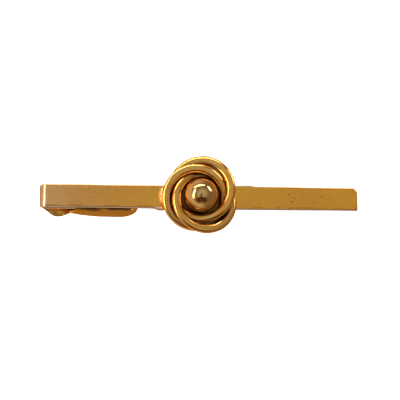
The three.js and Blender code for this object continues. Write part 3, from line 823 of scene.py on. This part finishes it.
def annular_plate(name, outline, hole, y_low, y_high):
    """A flat plate in XZ between two Y values, pierced by a hole with as many points as the outline."""
    rings = []
    bevel = 0.05 * MM
    layers = ((y_low + bevel, 0), (y_low, bevel), (y_high, bevel), (y_high - bevel, 0))
    centre = sum(hole, Vector()) / len(hole)
    for y, inset in layers:
        rings.append([Vector((p.x, y, p.z)) + (centre - p).normalized() * inset for p in outline])
    for y, inset in reversed(layers):
        rings.append([Vector((p.x, y, p.z)) - (centre - p).normalized() * inset for p in hole])
    count = len(outline)
    vertices = [p for ring in rings for p in ring]
    faces = []
    for i in range(len(rings)):
        there = ((i + 1) % len(rings)) * count
        for j in range(count):
            k = (j + 1) % count
            faces.append((i * count + j, i * count + k, there + k, there + j))
    return mesh_object(name, vertices, faces)


def lug(name, side):
    """An ear bent up from the jaw's back plate, with a hole that runs on the pin."""
    foot = JAW_LOW.z + LUG_FOOT * MM
    outline, hole = [], []
    count = 56
    for k in range(count):
        angle = 2 * math.pi * k / count
        direction = Vector((math.cos(angle), 0, math.sin(angle)))
        reach = LUG_RADIUS * MM
        if direction.z < 0:
            to_side = reach / max(abs(direction.x), 1e-6)
            to_foot = (foot - HINGE.z) / direction.z
            reach = min(to_side, to_foot)
        outline.append(HINGE + direction * reach)
        hole.append(HINGE + direction * LUG_HOLE * MM)
    outer = side * LUG_OUTER * MM
    inner = side * (LUG_OUTER - LUG_SHEET) * MM
    obj = annular_plate(f"jaw_lug_{name}", outline, hole, min(outer, inner), max(outer, inner))
    place(obj, "jaw", "gold_mechanism", GOLD_JAW)


# ---- hinge bracket and pin ----
def ear_bottom(x):
    """Height of the ear's lower edge at x, both in metres: a slope, round the pin, and up again."""
    slope = math.radians(EAR_SLOPE)
    radius = EAR_RADIUS * MM
    if x < HINGE.x - radius * math.sin(slope):
        return HINGE.z - radius / math.cos(slope) + math.tan(slope) * (HINGE.x - x)
    if x < HINGE.x + radius:
        return HINGE.z - math.sqrt(max(0.0, radius ** 2 - (x - HINGE.x) ** 2))
    plate = BRACKET_HIGH.z - EAR_SHEET * MM
    climb = (x - HINGE.x - radius) / (BRACKET_HIGH.x - HINGE.x - radius)
    return HINGE.z + (plate - 0.15 * MM - HINGE.z) * climb


def bracket():
    """The channel under the folded leg, with an ear down each side."""
    stops = list(np.linspace(BRACKET_LOW.x, HINGE.x - 0.4 * MM, 16))
    stops += [HINGE.x + EAR_RADIUS * MM * math.sin(math.radians(a)) for a in range(-24, 91, 6)]
    stops += list(np.linspace(HINGE.x + (EAR_RADIUS + 0.03) * MM, BRACKET_HIGH.x, 6))
    rings = []
    for x in sorted(stops):
        rings.append(u_section(x, BRACKET_HIGH.y, BRACKET_HIGH.z, ear_bottom(x), EAR_SHEET * MM,
                               EAR_CORNER * MM, 0.0))
    place(loft("hinge_channel", rings), "bar", "gold_mechanism", GOLD_MECHANISM, "hinge_bracket")


def pin():
    """The hinge pin, with a peened head at each end."""
    half = (PIN_HIGH.y - PIN_LOW.y) / 2
    head = (PIN_HIGH.x - PIN_LOW.x) / 2
    shaft = PIN_SHAFT * MM
    under = half - PIN_HEAD * MM
    side = [(head * math.cos(math.radians(a)) ** 0.7, under + PIN_HEAD * MM * math.sin(math.radians(a)))
            for a in (0, 15, 30, 45, 60, 75)]
    upper = [(shaft, under - 0.01 * MM), (head * 0.97, under)] + side
    profile = [(0, -half)] + [(r, -h) for r, h in reversed(upper)] + upper + [(0, half)]
    place(turned("pin", HINGE, profile, 40, axis="Y"), "bar", "gold_mechanism", GOLD_MECHANISM, "hinge_pin")


def spring():
    """The spring keeps its frame node's shape: a plain drawn wire."""
    node = frame["nodes"]["torsion_spring"]
    node.data.materials.clear()
    node.data.materials.append(SPRING_WIRE)
    node.data.polygons.foreach_set("use_smooth", [True] * len(node.data.polygons))


bar()
knot_strands()
knot_base()
ball()
ball_solder()
knot_solder()
bracket_solder()
jaw()
bracket()
pin()
spring()


# ---- stage, light and camera ----
# from the clip towards the camera, which stands off to its folded end and below its lower edge
LOOK = Vector((-math.tan(math.radians(5)), -math.tan(math.radians(12.5)), 1)).normalized()
ROLL = math.radians(0.3)
TARGET = Vector((0.10, -0.35, 0)) * MM
CAMERA_DISTANCE = 0.30
VIEW_WIDTH = 71.58 * MM     # across the picture, at the bar
SOFTBOX_DISTANCE = 0.35
FLOOR_SIZE = 3.0
RIGHT = Vector((math.sin(ROLL), math.cos(ROLL), 0)).cross(LOOK).normalized()
UP = LOOK.cross(RIGHT)


def from_camera(clock, off_axis):
    """Direction in the world: off_axis degrees off the camera's line, clock degrees round it from right."""
    clock, off_axis = math.radians(clock), math.radians(off_axis)
    return math.cos(off_axis) * LOOK + math.sin(off_axis) * (math.cos(clock) * RIGHT + math.sin(clock) * UP)


def look_at(obj, target, up):
    forward = (target - obj.location).normalized()
    side = forward.cross(up).normalized()
    true_up = side.cross(forward)
    turn = Matrix((side, true_up, -forward)).transposed().to_4x4()
    obj.matrix_world = Matrix.Translation(obj.location) @ turn


def softbox(name, clock, off_axis, distance, size, radiance, colour=(1, 1, 1)):
    """An elliptical area light facing the clip; radiance is how bright its face looks."""
    data = bpy.data.lights.new(name, "AREA")
    data.shape = "ELLIPSE"
    data.size, data.size_y = size
    data.energy = radiance * math.pi * size[0] * size[1]
    data.color = colour
    light = bpy.data.objects.new(name, data)
    bpy.context.scene.collection.objects.link(light)
    light.location = TARGET + distance * from_camera(clock, off_axis)
    look_at(light, TARGET, LOOK)
    return light


def make_lights():
    cream = (1.0, 0.95, 0.86)
    softbox("softbox_left", 168, 52, SOFTBOX_DISTANCE, (0.40, 0.07), 5.0, cream)
    softbox("softbox_top", 102, 69, SOFTBOX_DISTANCE, (0.44, 0.07), 5.0, cream)
    softbox("softbox_right", 38, 74, SOFTBOX_DISTANCE, (0.20, 0.07), 5.0, cream)
    fill = softbox("floor_fill", 90, 14, 0.60, (1.2, 1.2), 3.6)
    fill.visible_glossy = False


def make_floor():
    """Square to a clip lying on its jaw and the bar's free end, but lower, so the jaw has room to open."""
    half = FLOOR_SIZE / 2
    corners = [(-half, -half, 0), (half, -half, 0), (half, half, 0), (-half, half, 0)]
    obj = mesh_object("floor", corners, [(0, 1, 2, 3)])
    reach = BAR_HIGH.x - (JAW_HIGH.x - TIP_CURVE * MM)
    tilt = math.atan2(-JAW_LOW.z, reach)
    drop = Matrix.Translation((BAR_HIGH.x, 0, -FLOOR_DROP * MM))
    obj.matrix_world = drop @ Matrix.Rotation(-tilt, 4, "Y")
    obj.data.materials.append(pale_floor())
    obj.visible_glossy = False


def make_world():
    """A soft room: even above, paler at the horizon, shaded on the right, dark where the camera stands."""
    world = bpy.data.worlds.new("studio")
    bpy.context.scene.world = world
    world.use_nodes = True
    n = Nodes(world.node_tree, "Generated")
    height = n.map_range(n.separate()[2], -1, 1)
    below = [(0.0, (0.72, 0.50, 0.40)), (0.04, (0.38, 0.22, 0.05)), (0.12, (0.36, 0.22, 0.06)),
             (0.22, (0.42, 0.33, 0.26)), (0.38, (0.50, 0.40, 0.34))]
    horizon = [(0.47, (0.66, 0.50, 0.42)), (0.58, (0.66, 0.55, 0.48))]
    above = [(0.70, (0.29, 0.23, 0.19)), (0.87, (0.25, 0.22, 0.19)), (0.955, (0.46, 0.46, 0.45)),
             (1.0, (0.48, 0.48, 0.47))]
    room = n.ramp(height, below + horizon + above)
    shade = n.ramp(height, [(0.12, (0.30, 0.18, 0.05)), (0.30, (0.24, 0.15, 0.08)),
                            (0.50, (0.30, 0.21, 0.15)), (0.75, (0.22, 0.17, 0.13)),
                            (0.90, (0.25, 0.22, 0.19))])
    band = n.math("MULTIPLY", n.map_range(height, 0.12, 0.24, 0.0, 1.0),
                  n.map_range(height, 0.80, 0.90, 1.0, 0.0))
    right = n.map_range(n.towards(RIGHT), -0.1, 0.5, 0.0, 1.0, smooth=True)
    room = n.mix(n.math("MULTIPLY", band, right), room, shade)
    legs = [n.map_range(n.towards(from_camera(clock, off_axis)), 0.93, 0.975, 0.0, 1.0, smooth=True)
            for clock, off_axis in ((244, 38), (272, 26), (302, 38))]
    head = n.map_range(n.towards(LOOK), 0.988, 0.996, 0.0, 1.0, smooth=True)
    figure = n.math("MAXIMUM", n.math("MAXIMUM", legs[0], legs[1]), n.math("MAXIMUM", legs[2], head))
    background = world.node_tree.nodes["Background"]
    n.put(background.inputs["Color"], n.mix(figure, room, (0.10, 0.045, 0.02)))
    background.inputs["Strength"].default_value = 1.0


def make_camera():
    data = bpy.data.cameras.new("camera")
    data.sensor_width = 36
    data.clip_start = 0.01
    data.clip_end = 10
    data.lens = data.sensor_width * CAMERA_DISTANCE / VIEW_WIDTH
    camera = bpy.data.objects.new("camera", data)
    bpy.context.scene.collection.objects.link(camera)
    camera.location = TARGET + CAMERA_DISTANCE * LOOK
    look_at(camera, TARGET, Vector((math.sin(ROLL), math.cos(ROLL), 0)))
    bpy.context.scene.camera = camera


make_floor()
make_world()
make_lights()
make_camera()
bpy.context.scene.view_settings.view_transform = "Standard"
